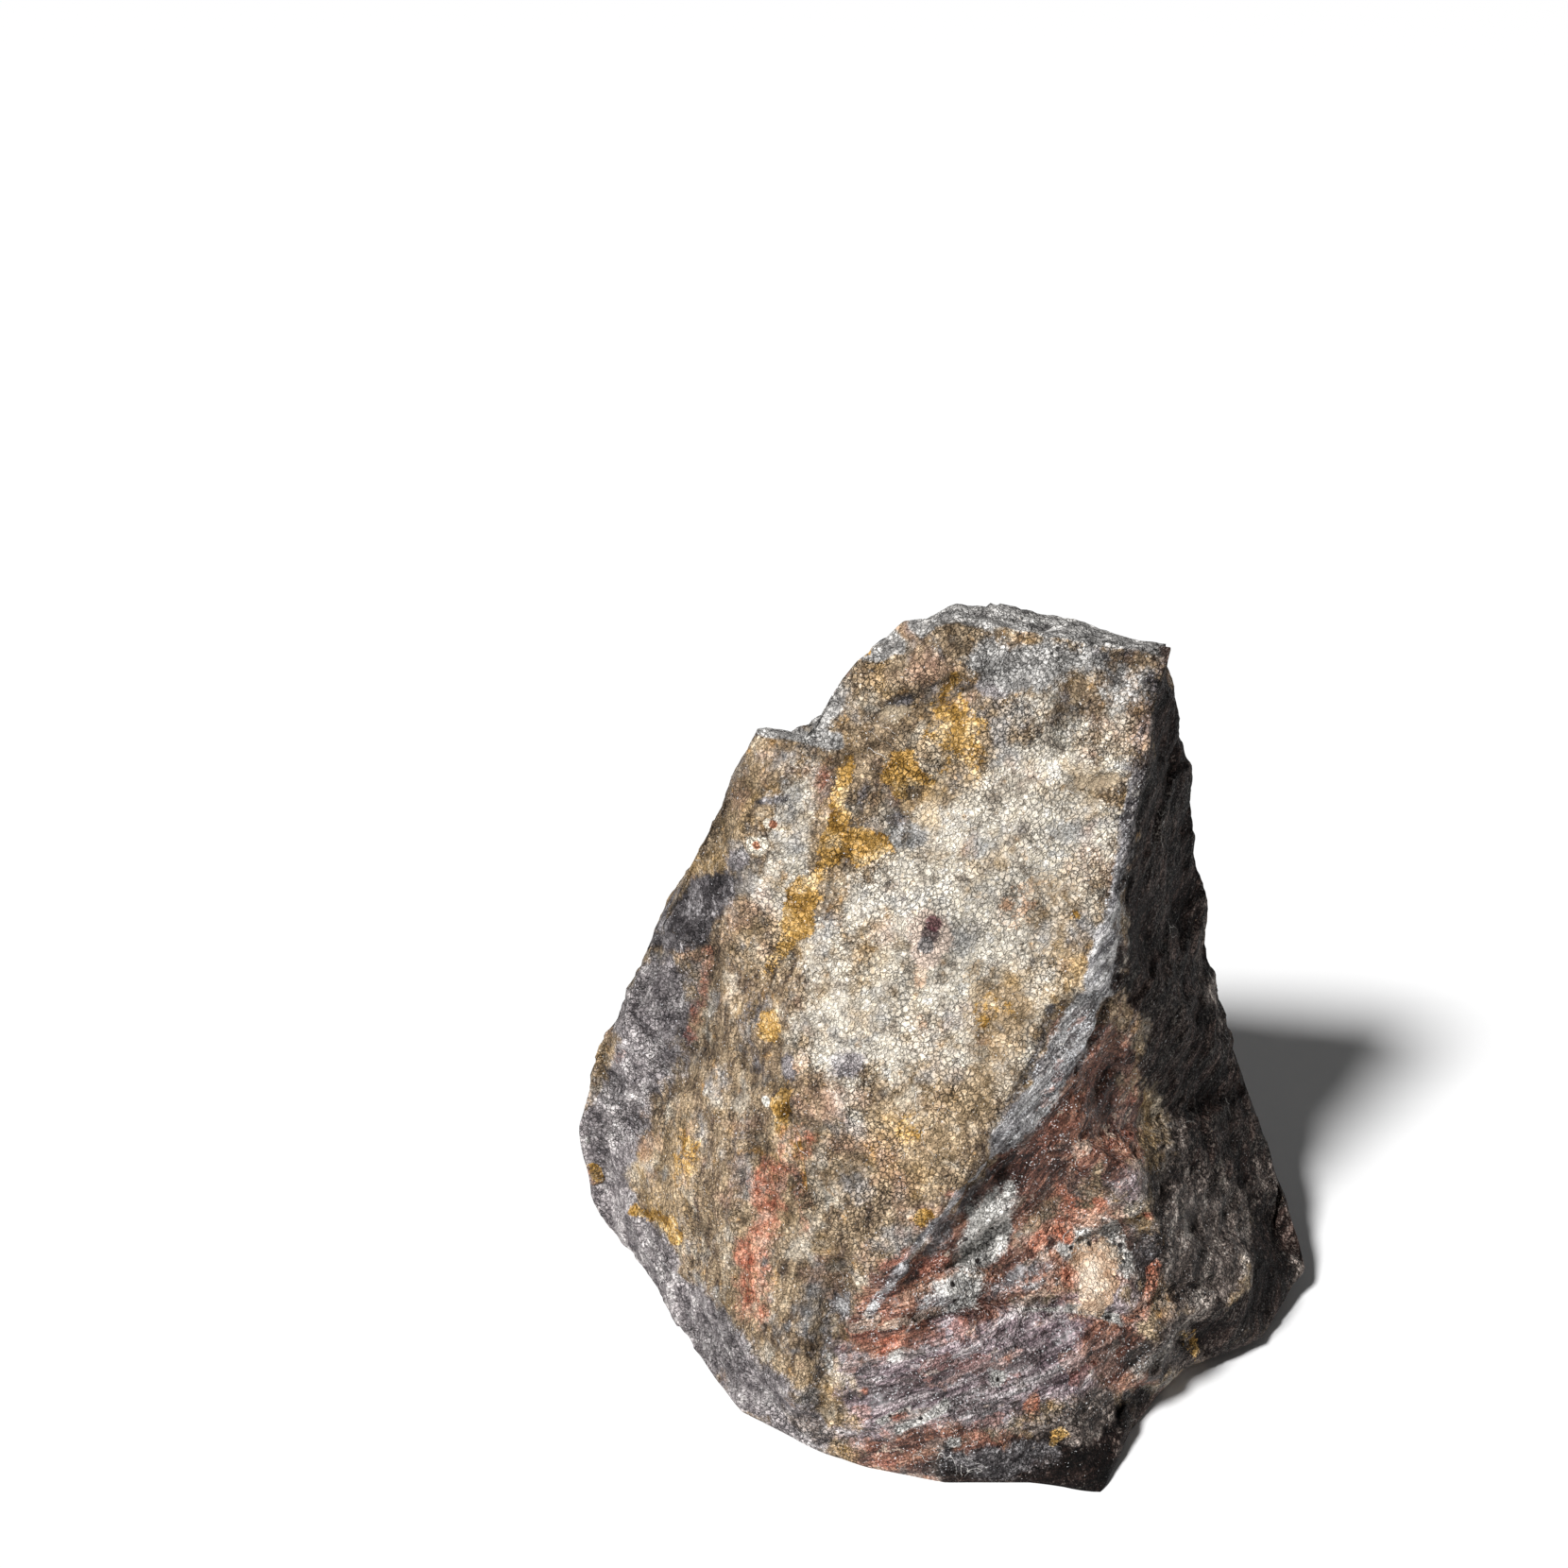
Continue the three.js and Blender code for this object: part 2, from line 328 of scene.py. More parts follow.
def relief(points, pixels, facing, plumWeight, calmWeight):
    # height = broken hollows + swells + grit, with grooves along the flow on the plum rock, then the
    # named marks, all fading out at the base; a broken hollow is part bowl and part flat slope
    size, shift, seed = stone["warp"]
    warp = np.stack([waves(points, size, seed + k) for k in range(3)], axis=1) * shift
    height = np.full(len(points), -stone["inset"])
    flatShare = 0.5 + 0.4 * plumWeight
    for size, depth, seed in stone["scallops"]:
        nearest, number, slope = chips(points + warp, size, seed)
        bowl = nearest**2 - 0.25 + 0.5 * (number - 0.5)
        flat = 0.8 * slope + 0.4 * (number - 0.5)
        height += depth * (1 - 0.75 * calmWeight) * (bowl + (flat - bowl) * flatShare)
    size, depth, seed = stone["swells"]
    height += depth * layers(points, size, 2, seed)
    size, depth, seed = stone["grit"]
    height += depth * layers(points, size, 2, seed) * (1 - 0.4 * calmWeight)
    for size, depth, seed in stone["streaks"]:
        height += depth * plumWeight * layers(flowCoordinates(points), size, 2, seed)
    size, amount, seed = stone["markRagged"]
    ragged = amount * layers(points, size, 2, seed)
    for mark in stone["hollows"]:
        reach = blot(pixels, mark["at"], mark["half"], mark["tilt"])
        height -= mark["depth"] * facing * smooth(1.5, 0.3, reach + ragged)
    for mark in stone["cracks"]:
        reach = vein(pixels, mark["path"], mark["half"])
        height -= mark["depth"] * facing * smooth(1.6, 0.2, reach + ragged)
    return height * smooth(0, stone["groundFade"], points[:, 2])


# Where each kind of rock lies, in pixels of the picture. The shade kind is painted shade, the silver band
# is a painted sheen, and some slate and flank marks paint shade too. Two more zones change its grain and
# not its
# colours: hair, where it is in fine upright fibres, and a zone of painted shade, where it is darker.
zones = {
    "hair": [
        dict(path=[(775, 1090), (790, 1200), (800, 1320), (835, 1440)], half=62),
        dict(path=[(800, 800), (765, 880), (715, 980)], half=16),
        dict(at=(700, 1240), half=(46, 66), tilt=-20, strength=0.8),
        dict(path=[(905, 760), (880, 830), (850, 900)], half=26, strength=0.6),
    ],
    "cream": [
        dict(at=(1085, 900), half=(95, 150), tilt=-18),
        dict(at=(1000, 1050), half=(145, 98), tilt=40),
        dict(at=(905, 1085), half=(70, 60), strength=0.9),
        dict(at=(1130, 800), half=(60, 70), strength=0.5),
        dict(at=(990, 876), half=(28, 36), strength=0.8),
        dict(at=(808, 948), half=(24, 24), strength=0.75),
        dict(at=(900, 1152), half=(40, 30), strength=0.55),
        dict(at=(960, 960), half=(70, 80), strength=0.8),
        dict(at=(832, 925), half=(26, 48), tilt=-10, strength=0.85),
        dict(at=(842, 862), half=(26, 58), tilt=-10, strength=0.95),
        dict(at=(880, 1010), half=(40, 50), strength=0.7),
        dict(at=(1066, 1124), half=(60, 50), tilt=40, strength=0.55),
        dict(at=(1180, 775), half=(30, 30), strength=0.6),
    ],
    "ochre": [
        dict(at=(700, 1240), half=(42, 62), tilt=-20),
        dict(at=(960, 1195), half=(120, 55), tilt=30, strength=0.8),
        dict(at=(1010, 790), half=(60, 60), strength=0.7),
        dict(at=(1120, 960), half=(40, 80), tilt=-20, strength=0.55),
        dict(at=(1055, 1075), half=(40, 60), tilt=-20, strength=0.8),
        dict(at=(785, 985), half=(34, 40), tilt=30, strength=0.8),
        dict(path=[(806, 795), (776, 868), (742, 928), (712, 985)], half=16),
        dict(at=(880, 1330), half=(60, 60), strength=0.35),
        dict(at=(900, 1510), half=(42, 28), tilt=-20, strength=0.8),
        dict(at=(826, 1206), half=(24, 32), strength=0.7),
    ],
    "gold": [
        dict(path=[(898, 808), (890, 836), (884, 858)], half=11, strength=0.7),
        dict(path=[(886, 864), (878, 902)], half=16, strength=0.85),
        dict(path=[(874, 908), (858, 938)], half=9, strength=0.75),
        dict(path=[(856, 946), (842, 980)], half=17, strength=0.9),
        dict(path=[(834, 990), (818, 1024)], half=11, strength=0.7),
        dict(at=(955, 818), half=(27, 32)),
        dict(at=(912, 898), half=(24, 22)),
        dict(at=(1015, 770), half=(34, 36), strength=0.64),
        dict(at=(1035, 800), half=(14, 30), tilt=10, strength=0.58),
        dict(at=(813, 1088), half=(11, 20), strength=0.8),
        dict(at=(826, 1172), half=(10, 28), tilt=-8, strength=0.95),
        dict(path=[(840, 1205), (845, 1262)], half=5, strength=0.9),
        dict(at=(1140, 967), half=(10, 9), strength=0.8),
        dict(at=(1052, 1072), half=(24, 20), tilt=30, strength=0.45),
        dict(at=(728, 1220), half=(16, 26), strength=0.55),
        dict(path=[(672, 1282), (705, 1298), (716, 1310)], half=8, strength=0.8),
        dict(at=(978, 1290), half=(12, 13), strength=0.95),
        dict(at=(964, 1200), half=(16, 18), strength=0.55),
        dict(at=(1124, 1521), half=(14, 8), tilt=35, strength=0.6),
        dict(at=(914, 690), half=(10, 9), strength=0.8),
        dict(at=(1264, 1425), half=(10, 16), tilt=20, strength=0.6),
        dict(at=(1000, 730), half=(10, 40), tilt=-35, strength=0.55),
    ],
    "salmon": [
        dict(path=[(814, 1240), (807, 1300), (800, 1340), (793, 1388)], half=23, strength=0.58),
        dict(at=(785, 1332), half=(9, 15), strength=0.7),
        dict(at=(838, 1210), half=(24, 22), strength=0.45),
        dict(path=[(836, 1225), (850, 1300)], half=14, strength=0.45),
        dict(at=(1095, 1490), half=(11, 16), tilt=-10),
        dict(at=(937, 1424), half=(22, 9), tilt=30),
        dict(at=(1134, 1354), half=(14, 16), strength=0.85),
        dict(at=(1130, 1280), half=(24, 30), tilt=-20, strength=0.6),
        dict(path=[(1200, 1398), (1222, 1380), (1228, 1345)], half=10, strength=0.65),
        dict(path=[(1096, 1318), (1106, 1302), (1130, 1306)], half=9),
        dict(at=(1163, 1276), half=(9, 9), strength=0.9),
        dict(at=(1216, 1288), half=(14, 9), tilt=30, strength=0.7),
        dict(path=[(742, 1008), (735, 1050), (727, 1100)], half=9, strength=0.42),
        dict(at=(913, 1473), half=(7, 7), strength=0.8),
        dict(at=(1068, 1437), half=(10, 12), tilt=20, strength=0.6),
        dict(at=(950, 1502), half=(14, 8), tilt=20, strength=0.7),
        dict(at=(1003, 1335), half=(26, 12), tilt=40, strength=0.4),
        dict(path=[(945, 1380), (985, 1345), (1010, 1330)], half=10, strength=0.35),
        dict(at=(655, 1118), half=(8, 20), tilt=-20, strength=0.35),
    ],
    "lilac": [
        dict(path=[(694, 1045), (682, 1105), (664, 1157), (645, 1205)], half=34),
        dict(path=[(623, 1200), (640, 1268), (692, 1352), (737, 1402), (797, 1470), (846, 1522)], half=29),
        dict(at=(776, 912), half=(14, 12), strength=0.9),
        dict(at=(900, 1128), half=(24, 17), strength=0.9),
        dict(at=(831, 1130), half=(11, 19)),
        dict(at=(1052, 724), half=(20, 17), strength=0.75),
        dict(at=(1195, 1320), half=(22, 40), strength=0.6),
        dict(at=(892, 1386), half=(18, 20), strength=0.8),
        dict(at=(1080, 880), half=(30, 26), strength=0.35),
    ],
    # dark grey-purple rock; the marks under the top lip, in the hollow beside it, along the V notch and
    # along the bottom edge paint the shade there
    "slateAndShade": [
        dict(at=(740, 960), half=(52, 29), tilt=42),
        dict(path=[(690, 995), (725, 1000), (745, 990)], half=12, strength=0.7),
        dict(at=(955, 742), half=(24, 10), tilt=24, strength=0.7),
        dict(at=(992, 726), half=(16, 8), tilt=24, strength=0.55),
        dict(at=(1126, 745), half=(11, 30), tilt=-8, strength=0.5),
        dict(at=(914, 838), half=(10, 28), tilt=-10, strength=0.6),
        dict(at=(948, 866), half=(16, 11), tilt=-20, strength=0.65),
        dict(at=(905, 1245), half=(40, 38), strength=0.4),
        dict(path=[(1222, 720), (1206, 780), (1204, 830), (1192, 900)], half=12, strength=0.55),
        dict(path=[(1114, 1070), (1095, 1130), (1070, 1170)], half=8, strength=0.55),
        dict(path=[(985, 1325), (1020, 1283), (1050, 1250)], half=9, strength=0.6),
        dict(path=[(884, 1370), (876, 1415), (864, 1470)], half=8, strength=0.5),
        dict(at=(1080, 1350), half=(36, 12), tilt=25, strength=0.7),
        dict(at=(1060, 1548), half=(60, 22), strength=0.9),
        dict(at=(1220, 1325), half=(20, 30), strength=0.5),
        dict(at=(1190, 690), half=(40, 12), strength=0.5),
        dict(path=[(800, 1060), (785, 1100), (800, 1130)], half=14, strength=0.5),
        dict(path=[(785, 1190), (780, 1250), (770, 1300)], half=12, strength=0.4),
        dict(at=(1010, 730), half=(30, 12), tilt=20, strength=0.5),
        dict(path=[(805, 850), (830, 845)], half=9, strength=0.6),
    ],
    "grey": [
        dict(at=(826, 850), half=(17, 46), tilt=-12, strength=0.5),
        dict(path=[(803, 768), (850, 776), (885, 784)], half=10),
        dict(at=(874, 746), half=(18, 36), tilt=-25),
        dict(path=[(900, 690), (930, 694), (950, 684), (935, 672)], half=11, strength=0.9),
        dict(path=[(975, 656), (1010, 646), (1060, 654), (1130, 664), (1237, 684)], half=15),
        dict(at=(1095, 700), half=(80, 28), strength=0.9),
        dict(at=(1200, 725), half=(36, 34), strength=0.6),
        dict(at=(962, 885), half=(22, 16), strength=0.7),
        dict(at=(838, 855), half=(24, 60), tilt=-8, strength=0.5),
        dict(at=(1000, 1085), half=(50, 40), tilt=30, strength=0.35),
    ],
    # painted sheen: a pale blue-grey band where light glances off the rounded ridge, and glossy pale
    # patches on the foot
    "paintedSheen": [
        dict(path=[(1182, 960), (1164, 1040), (1142, 1100), (1106, 1160), (1066, 1206)], half=19),
        dict(path=[(1066, 1206), (1012, 1270), (960, 1338), (918, 1392)], half=6, strength=0.85),
        dict(path=[(1204, 830), (1194, 890), (1184, 950)], half=11, strength=0.9),
        dict(at=(892, 1385), half=(14, 18), strength=0.7),
        dict(at=(1014, 1366), half=(36, 20), tilt=35, strength=0.75),
        dict(at=(1075, 1365), half=(40, 9), tilt=15, strength=0.6),
    ],
    "rust": [
        dict(at=(870, 832), half=(13, 28), tilt=-14, strength=0.6),
        dict(path=[(1160, 1110), (1140, 1190), (1120, 1250)], half=46),
        dict(at=(1170, 1190), half=(44, 66), tilt=10, strength=0.9),
        dict(path=[(1110, 1230), (1060, 1280), (1000, 1345), (930, 1405)], half=40),
        dict(at=(1010, 1545), half=(110, 34)),
        dict(at=(1190, 1440), half=(36, 50), tilt=30),
        dict(at=(1100, 1340), half=(120, 60), tilt=20, strength=0.8),
    ],
    "mauve": [
        dict(path=[(960, 1365), (1010, 1320), (1060, 1270)], half=26, strength=0.6),
        dict(path=[(925, 1450), (1000, 1425), (1080, 1405), (1165, 1402)], half=46),
        dict(path=[(930, 1500), (1040, 1475), (1130, 1450)], half=46, strength=0.9),
        dict(at=(1190, 1250), half=(34, 36), strength=0.6),
    ],
    "chalk": [
        dict(at=(1044, 1309), half=(48, 27), tilt=58, strength=0.95),
        dict(at=(1021, 1356), half=(34, 24), tilt=50, strength=0.75),
        dict(at=(1138, 1318), half=(20, 20), strength=0.9),
        dict(at=(1178, 1320), half=(16, 30), tilt=20, strength=0.7),
        dict(path=[(932, 1506), (958, 1496)], half=6, strength=0.9),
        dict(path=[(950, 1518), (975, 1506), (1002, 1490)], half=6, strength=0.9),
        dict(at=(1057, 1460), half=(10, 10), strength=0.85),
        dict(at=(1013, 1531), half=(9, 7)),
        dict(at=(948, 1438), half=(11, 10), strength=0.7),
        dict(at=(878, 1445), half=(7, 13), strength=0.7),
        dict(path=[(1080, 1387), (1147, 1384), (1192, 1400), (1212, 1392)], half=5, strength=0.8),
    ],
    "peach": [
        dict(at=(1166, 1370), half=(15, 22), tilt=-20),
        dict(at=(1154, 1346), half=(24, 32), tilt=-15),
        dict(at=(1078, 960), half=(16, 30), tilt=-20, strength=0.5),
        dict(at=(975, 1030), half=(9, 24), tilt=-12, strength=0.8),
        dict(at=(848, 1122), half=(10, 12), strength=0.8),
        dict(at=(978, 1085), half=(9, 16), tilt=20, strength=0.6),
    ],
    "clay": [
        dict(at=(1162, 828), half=(26, 9), tilt=4),
        dict(at=(944, 757), half=(20, 10), tilt=15),
        dict(at=(1030, 1050), half=(16, 40), tilt=-10, strength=0.5),
    ],
    # dark grey-brown rock of the lower right flank and under the dark face; the marks along the bottom edge
    # and under the right end paint the shade of the underside there
    "flankAndShade": [
        dict(at=(1285, 1300), half=(80, 100)),
        dict(at=(1230, 1300), half=(24, 60), strength=0.6),
        dict(at=(1272, 1195), half=(46, 60)),
        dict(
            path=[(1282, 700), (1272, 850), (1272, 1000), (1290, 1120), (1335, 1230), (1368, 1320)],
            half=48,
        ),
        dict(at=(1160, 1530), half=(70, 60)),
        dict(at=(1090, 1558), half=(120, 26)),
        dict(at=(1260, 1420), half=(80, 30), tilt=25),
        dict(at=(846, 1508), half=(40, 15), tilt=-26, strength=0.6),
    ],
    # painted shade: near-black over the right face, which lies in deep shadow, and along the underside of
    # the right end, the bottom edge and the notch
    "shade": [
        dict(
            path=[(1277, 720), (1250, 850), (1232, 950), (1238, 1050), (1262, 1130), (1310, 1200)],
            half=52,
        ),
        dict(path=[(1350, 1280), (1345, 1370), (1290, 1420)], half=26),
        dict(path=[(1025, 1562), (1090, 1554), (1165, 1560)], half=30, strength=0.95),
        dict(path=[(1165, 1560), (1195, 1500), (1215, 1480)], half=16, strength=0.7),
    ],
    # painted shade: darker along the underside of the bottom edge, under the right end and the notch, in
    # the V notch and under lips, and in a few other spots
    "paintedShade": [
        dict(path=[(1025, 1560), (1090, 1552), (1165, 1556)], half=26, strength=0.9),
        dict(at=(1150, 1494), half=(38, 28), tilt=30, strength=0.65),
        dict(at=(1230, 1432), half=(40, 24), tilt=30, strength=0.8),
        dict(at=(912, 1434), half=(30, 42), strength=0.7),
        dict(at=(812, 1474), half=(44, 24), tilt=-40, strength=0.5),
        dict(at=(872, 1314), half=(20, 42), strength=0.5),
        dict(at=(838, 1012), half=(14, 24), tilt=-20, strength=0.45),
        dict(at=(1075, 712), half=(40, 16), strength=0.4),
        dict(at=(1172, 1250), half=(30, 26), strength=0.55),
        dict(at=(918, 1480), half=(34, 22), strength=0.5),
        dict(at=(1140, 892), half=(24, 26), strength=0.3),
    ],
}


def zoneMasks(points, pixels, facing):
    # the picture's marks where the stone faces the camera; where it doesn't, patches of noise, and the dark
    # flank rock and the painted shade of the right face go on round the right end
    size, amount, seed = stone["zoneRagged"]
    ragged = amount * layers(points, size, 3, seed, 0.6)
    masks = {name: facing * markMask(pixels, ragged, marks) for name, marks in zones.items()}
    darkEnd = smooth(*stone["darkEnd"], points[:, 0])
    darkTip = smooth(*stone["darkTip"], points[:, 0])
    for name, level, seed in stone["hiddenPatches"]:
        patches = smooth(level - 0.15, level + 0.25, layers(points, stone["hiddenSize"], 4, seed))
        masks[name] = np.maximum(masks[name], (1 - facing) * patches * (1 - darkEnd))
    masks["flankAndShade"] = np.maximum(masks["flankAndShade"], (1 - facing) * darkEnd)
    # painted shade goes on round the right tip
    masks["shade"] = np.maximum(masks["shade"], (1 - facing) * darkTip)
    return masks


def strongest(masks, shares):
    # at each point the largest of the masks, each times its share
    return np.max([share * masks[name] for name, share in shares.items()], axis=0)


def surfaceSpots(points, pixels, front):
    # the point nearest to each spot's pixel, among those on the front
    places = []
    for spot in rock["spots"]:
        away = np.linalg.norm(pixels - np.array(spot["at"]), axis=1)
        places.append(tuple(points[np.argmin(np.where(front, away, np.inf))]))
    return places


def addAttribute(mesh, name, kind, field, values):
    # a value or a vector for each point, which the finish reads by its name
    mesh.attributes.new(name, kind, "POINT").data.foreach_set(field, values.astype(np.float32).ravel())


def buildStone():
    # each point of the patches moves along its normal by the relief, which is calm on the smooth front,
    # on the face painted in shade, along the outline and along sharp edges
    points, faces = nodeSurface(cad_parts["stone"])
    points, faces = patchGrid(points, faces, stone["splits"], stone["rounding"])
    normals = pointNormals(points, faces)
    pixels = pictureOf(points)
    toCamera = np.array(camera["place"]) - points
    toCamera /= np.linalg.norm(toCamera, axis=1, keepdims=True)
    towards = np.sum(normals * toCamera, axis=1)
    facing = smooth(*stone["frontFade"], towards)
    outline = smooth(*stone["outlineFade"], np.abs(towards))
    masks = zoneMasks(points, pixels, facing)
    smoothFront = smooth(0.2, 0.8, np.maximum(masks["cream"], masks["ochre"]))
    calm = np.max([0.8 * smoothFront, 0.8 * masks["shade"], outline], axis=0)
    streaky = strongest(masks, stone["streaky"]) * (1 - 0.6 * outline)
    sharpness = edgeSharpness(normals, faces, stone["edgeRounds"])
    height = relief(points, pixels, facing, streaky, calm)
    height *= 1 - stone["edgeCalm"] * smooth(*stone["edgeFade"], sharpness)
    moved = points + normals * height[:, None]
    moved[:, 2] = np.maximum(moved[:, 2], 0)

    mesh = bpy.data.meshes.new("wonderstone")
    mesh.from_pydata(moved, [], faces)
    patched = np.maximum(masks["chalk"], masks["peach"])
    # painted shade in hollows: 1 where the relief is low, and the finish darkens the colour there
    masks["hollow"] = smooth(*stone["hollowShadeFade"], height)
    masks["fibrous"] = (1 - 0.8 * patched) * strongest(masks, stone["fibrous"])
    masks["broken"] = (1 - 0.85 * patched) * np.maximum(masks["rust"], masks["mauve"])
    for name, mask in masks.items():
        addAttribute(mesh, name, "FLOAT", "value", mask)
    addAttribute(mesh, "flow", "FLOAT_VECTOR", "vector", flowCoordinates(moved))
    mesh.shade_smooth()
    item = bpy.data.objects.new("wonderstone", mesh)
    bpy.context.collection.objects.link(item)
    print("stage: stone built,", len(faces), "triangles")
    return item, surfaceSpots(moved, pixels, towards > stone["spotFront"])


class Shade:
    # a socket of a node tree; sums and products of sockets add Math nodes
    def __init__(self, tree, socket=None):
        self.tree, self.socket = tree, socket

    def node(self, kind, settings=None, values=None, output=0):
        # a node of this kind, its settings made first and then its sockets set or linked
        made = self.tree.nodes.new(kind)
        for name, value in (settings or {}).items():
            if name == "stops":
                self.setRamp(made.color_ramp, value)
            else:
                setattr(made, name, value)
        for name, value in (values or {}).items():
            if isinstance(value, Shade):
                self.tree.links.new(value.socket, made.inputs[name])
            else:
                made.inputs[name].default_value = value
        return Shade(self.tree, made.outputs[output] if made.outputs else None)

    def sibling(self, output):
        # another output of the node that this socket belongs to
        return Shade(self.tree, self.socket.node.outputs[output])

    def setRamp(self, ramp, stops):
        # a ramp keeps at least one stop, so the first is moved and the others are new
        while len(ramp.elements) > 1:
            ramp.elements.remove(ramp.elements[-1])
        for k, (position, tint) in enumerate(stops):
            stop = ramp.elements.new(position) if k else ramp.elements[0]
            stop.position, stop.color = position, tint

    def ramp(self, tints, low, high):
        # colours at even steps from low to high
        step = (high - low) / (len(tints) - 1)
        stops = [(low + step * k, colour(tint)) for k, tint in enumerate(tints)]
        return self.node("ShaderNodeValToRGB", {"stops": stops}, {0: self})

    def maths(self, operation, *values):
        # a Math node on these values
        return self.node("ShaderNodeMath", {"operation": operation}, dict(enumerate(values)))

    def __add__(self, other):
        return self.maths("ADD", self, other)

    def __radd__(self, other):
        return self.maths("ADD", other, self)

    def __sub__(self, other):
        return self.maths("SUBTRACT", self, other)

    def __rsub__(self, other):
        return self.maths("SUBTRACT", other, self)

    def __mul__(self, other):
        return self.maths("MULTIPLY", self, other)

    def __rmul__(self, other):
        return self.maths("MULTIPLY", other, self)

    def rise(self, low, high, start=0.0, end=1.0):
        # an S-shaped rise from start at low to end at high
        values = {0: self, 1: low, 2: high, 3: start, 4: end}
        return self.node("ShaderNodeMapRange", {"interpolation_type": "SMOOTHSTEP"}, values)

    def between(self, first, second):
        # first where this value is 0 and second where it is 1, as values
        return first + (second - first) * self

    def mix(self, first, second):
        # first where this value is 0 and second where it is 1, as colours
        return self.node("ShaderNodeMix", {"data_type": "RGBA"}, {0: self, 6: first, 7: second}, 2)

    def scale(self, amount):
        # a colour or vector times a value
        return self.node("ShaderNodeVectorMath", {"operation": "SCALE"}, {0: self, "Scale": amount})

    def vector(self, operation, other, output=0):
        # vector maths on this vector and another
        return self.node("ShaderNodeVectorMath", {"operation": operation}, {0: self, 1: other}, output)

    def painted(self, name, output="Fac"):
        # what the stone's points carry under this name
        return self.node("ShaderNodeAttribute", {"attribute_name": name}, output=output)


def colour(code):
    # linear light of an sRGB colour written as six hexadecimal digits
    shares = [int(code[k : k + 2], 16) / 255 for k in (0, 2, 4)]
    return tuple(s / 12.92 if s <= 0.04045 else ((s + 0.055) / 1.055) ** 2.4 for s in shares) + (1.0,)


rock = {
    # colours from dark to pale, mixed by noise; each kind lies over the ground and over earlier kinds
    "ground": ("54463a", "7d6a55", "99846a", "b59f82"),
    "kinds": {
        "cream": ("90867a", "b9af9f", "d8d0c3", "d6cbb7", "ebe6dd"),
        "ochre": ("6b5940", "8f7a5e", "aa9273", "c4ac8b"),
        "lilac": ("5a5456", "817a7b", "a39c9c", "cdc7c5"),
        "grey": ("6a6765", "979491", "c1beba", "e6e3df"),
        "mauve": ("4d4044", "88767c", "b3a4a6", "e6dddd"),
        "rust": ("3c221a", "734a3c", "9a6c57", "be967f"),
        # painted sheen: the pale blue-grey of light glancing off the ridge
        "paintedSheen": ("5f5c5e", "959294", "bfbcbb", "e8e6e4"),
        # dark grey-brown rock, also used as painted shade along the underside
        "flankAndShade": ("2a221e", "524843", "7d716a", "b5aba2"),
        # painted shade: near-black browns, darker than the rock itself, standing in for the shadow on the
        # right face and the underside
        "shade": ("0b0706", "19100d", "2a1d19", "50403a"),
        # dark grey-purple rock, also used to paint shade under the top lip, in the V notch and along the
        # bottom edge
        "slateAndShade": ("312d2f", "504b4d", "757071", "aaa5a6"),
        "chalk": ("95928e", "bfbcb7", "dbd8d2", "f0ece6"),
        "clay": ("93816b", "ab987f", "b8a68c", "c7b69d"),
        "peach": ("a5846a", "c6a78c", "dcc3aa", "ead8c4"),
        "gold": ("75531e", "a27b3a", "c49c5c", "dfc294"),
        "salmon": ("8a4a36", "b5735a", "cd957c", "e2b9a4"),
    },
    "spread": (0.36, 0.64),  # noise values of the darkest and the palest colour
    "streaked": ("mauve", "rust", "paintedSheen", "flankAndShade", "shade"),  # kinds whose colours follow the flow
    "crisp": ("clay", "peach", "gold"),  # kinds with a crisp edge
    # mask values where a kind begins and is full, and how far noise breaks up its edge
    "softEdge": (0.28, 0.72, 1.6),
    "crispEdge": (0.38, 0.60, 2.4),
    # colour that the pale front takes on in places, the noise level where it starts, its share, the
    # patches per metre and where the noise is read
    "tints": [
        ("caa468", 0.55, 0.45, 24, 1.0),
        ("a9adb2", 0.54, 0.50, 30, 4.0),
        ("c29a84", 0.56, 0.50, 20, 7.0),
        ("8a745c", 0.58, 0.32, 45, 9.0),
        ("f1e9d8", 0.55, 0.40, 36, 12.0),
        ("c9964e", 0.62, 0.60, 70, 15.0),
    ],
    "paleFragments": ("8a5040", "b98470", "8e8680", "cdb8a4"),
    "darkFragments": ("231a1b", "4a2f2a", "3a3334"),
    # round marks: pixel, radius in metres and colour
    "spots": [
        dict(at=(800, 897), radius=0.0085, tint="ece2cf"),
        dict(at=(801, 897), radius=0.0034, tint="b06c4a"),
        dict(at=(813, 870), radius=0.0034, tint="ece2cf"),
        dict(at=(819, 873), radius=0.0030, tint="b57050"),
        dict(at=(986, 990), radius=0.0165, tint="dcc6b6"),
        dict(at=(979, 1010), radius=0.0100, tint="dcc6b6"),
        dict(at=(984, 991), radius=0.0066, tint="57494a"),
        dict(at=(986, 977), radius=0.0060, tint="643c42"),
        dict(at=(981, 1004), radius=0.0060, tint="837f7e"),
        dict(at=(807, 1165), radius=0.0038, tint="e8e4da"),
    ],
    "frost": "ece6da",  # the brightest grains of the cream rock
    "glint": "eff0f2",  # painted glints: single grains painted near white as highlights
    "pit": "2a2524",  # small dark pits in the chalk
    "scratch": "e6e2dc",  # fine pale lines
    "brightness": 1.13,
    "grainSize": 0.0015,  # metres
    "poreSize": 0.0024,  # metres
    "bump": 0.0032,  # metres
    # waves or cells of each noise in a metre
    "perMetre": {
        "mottle": 60,
        "lined": 120,
        "streak": 70,
        "edge": 95,
        "fragments": 95,
        "fragmentPush": 120,
        "grains": 250,
        "grainPush": 380,
        "seamDepth": 34,
        "hair": 620,
        "fibre": 420,
        "glints": 140,
        "lumps": 90,
        "roughness": 150,
        "scratches": 45,
        "scratchPatches": 16,
    },
}


